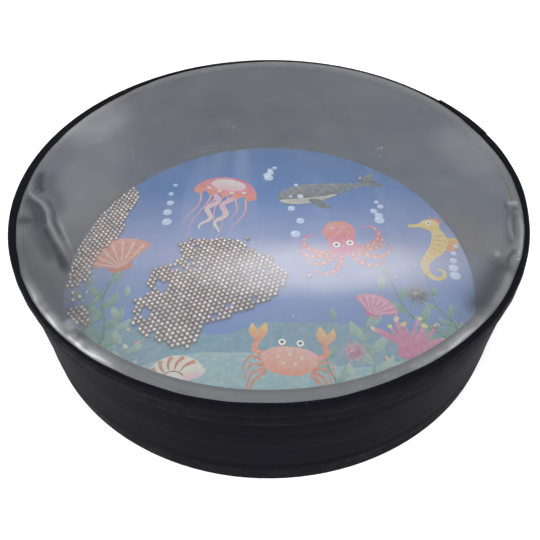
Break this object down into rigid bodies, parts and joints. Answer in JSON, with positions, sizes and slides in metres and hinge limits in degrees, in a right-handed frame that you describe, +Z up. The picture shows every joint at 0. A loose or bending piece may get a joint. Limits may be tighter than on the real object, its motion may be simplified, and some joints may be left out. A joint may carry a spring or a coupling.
{
  "type": "ocean drum",
  "caption": "Shallow round drum with a clear top head, a printed lower head and loose steel beads that roll between them to sound like surf.",
  "frame": {"origin": "centre of the underside, on the surface that the drum stands on", "axes": "+Z up through the clear head, -Y towards the player, and the beads' drift against the wall lies on the -X side"},
  "size_m": [0.254, 0.254, 0.0664],
  "materials": {
    "shell": "bent fibreboard hoop, grey through",
    "lining": "smooth grey lining, low gloss",
    "covering": "black vinyl covering, satin",
    "printed_head": "printed sheet with an underwater design in blue, lavender and teal",
    "clear_head": "clear polyester film with a slight haze",
    "edge_tape": "black coated cloth tape",
    "beads": "small polished steel beads"
  },
  "bodies": {
    "drum": {"shell_ring": "shell", "inner_lining": "lining", "outer_wrap": "covering", "bottom_head": "printed_head", "top_head": "clear_head", "top_edge_tape": "edge_tape", "bottom_edge_tape": "edge_tape"},
    "beads_at_wall": {"wall_beads": "beads", "stray_beads": "beads"},
    "bead_pool": {"pool_beads": "beads"}
  },
  "joints": [
    {"name": "bead_swirl", "type": "hinge", "parent": "drum", "child": "beads_at_wall", "pos_m": [0, 0, 0.0023], "axis": [0, 0, 1], "continuous": true},
    {"name": "pool_tilt", "type": "slide", "parent": "beads_at_wall", "child": "bead_pool", "axis": [0.9848, 0.1736, 0], "range_m": [-0.02, 0.093]}
  ]
}
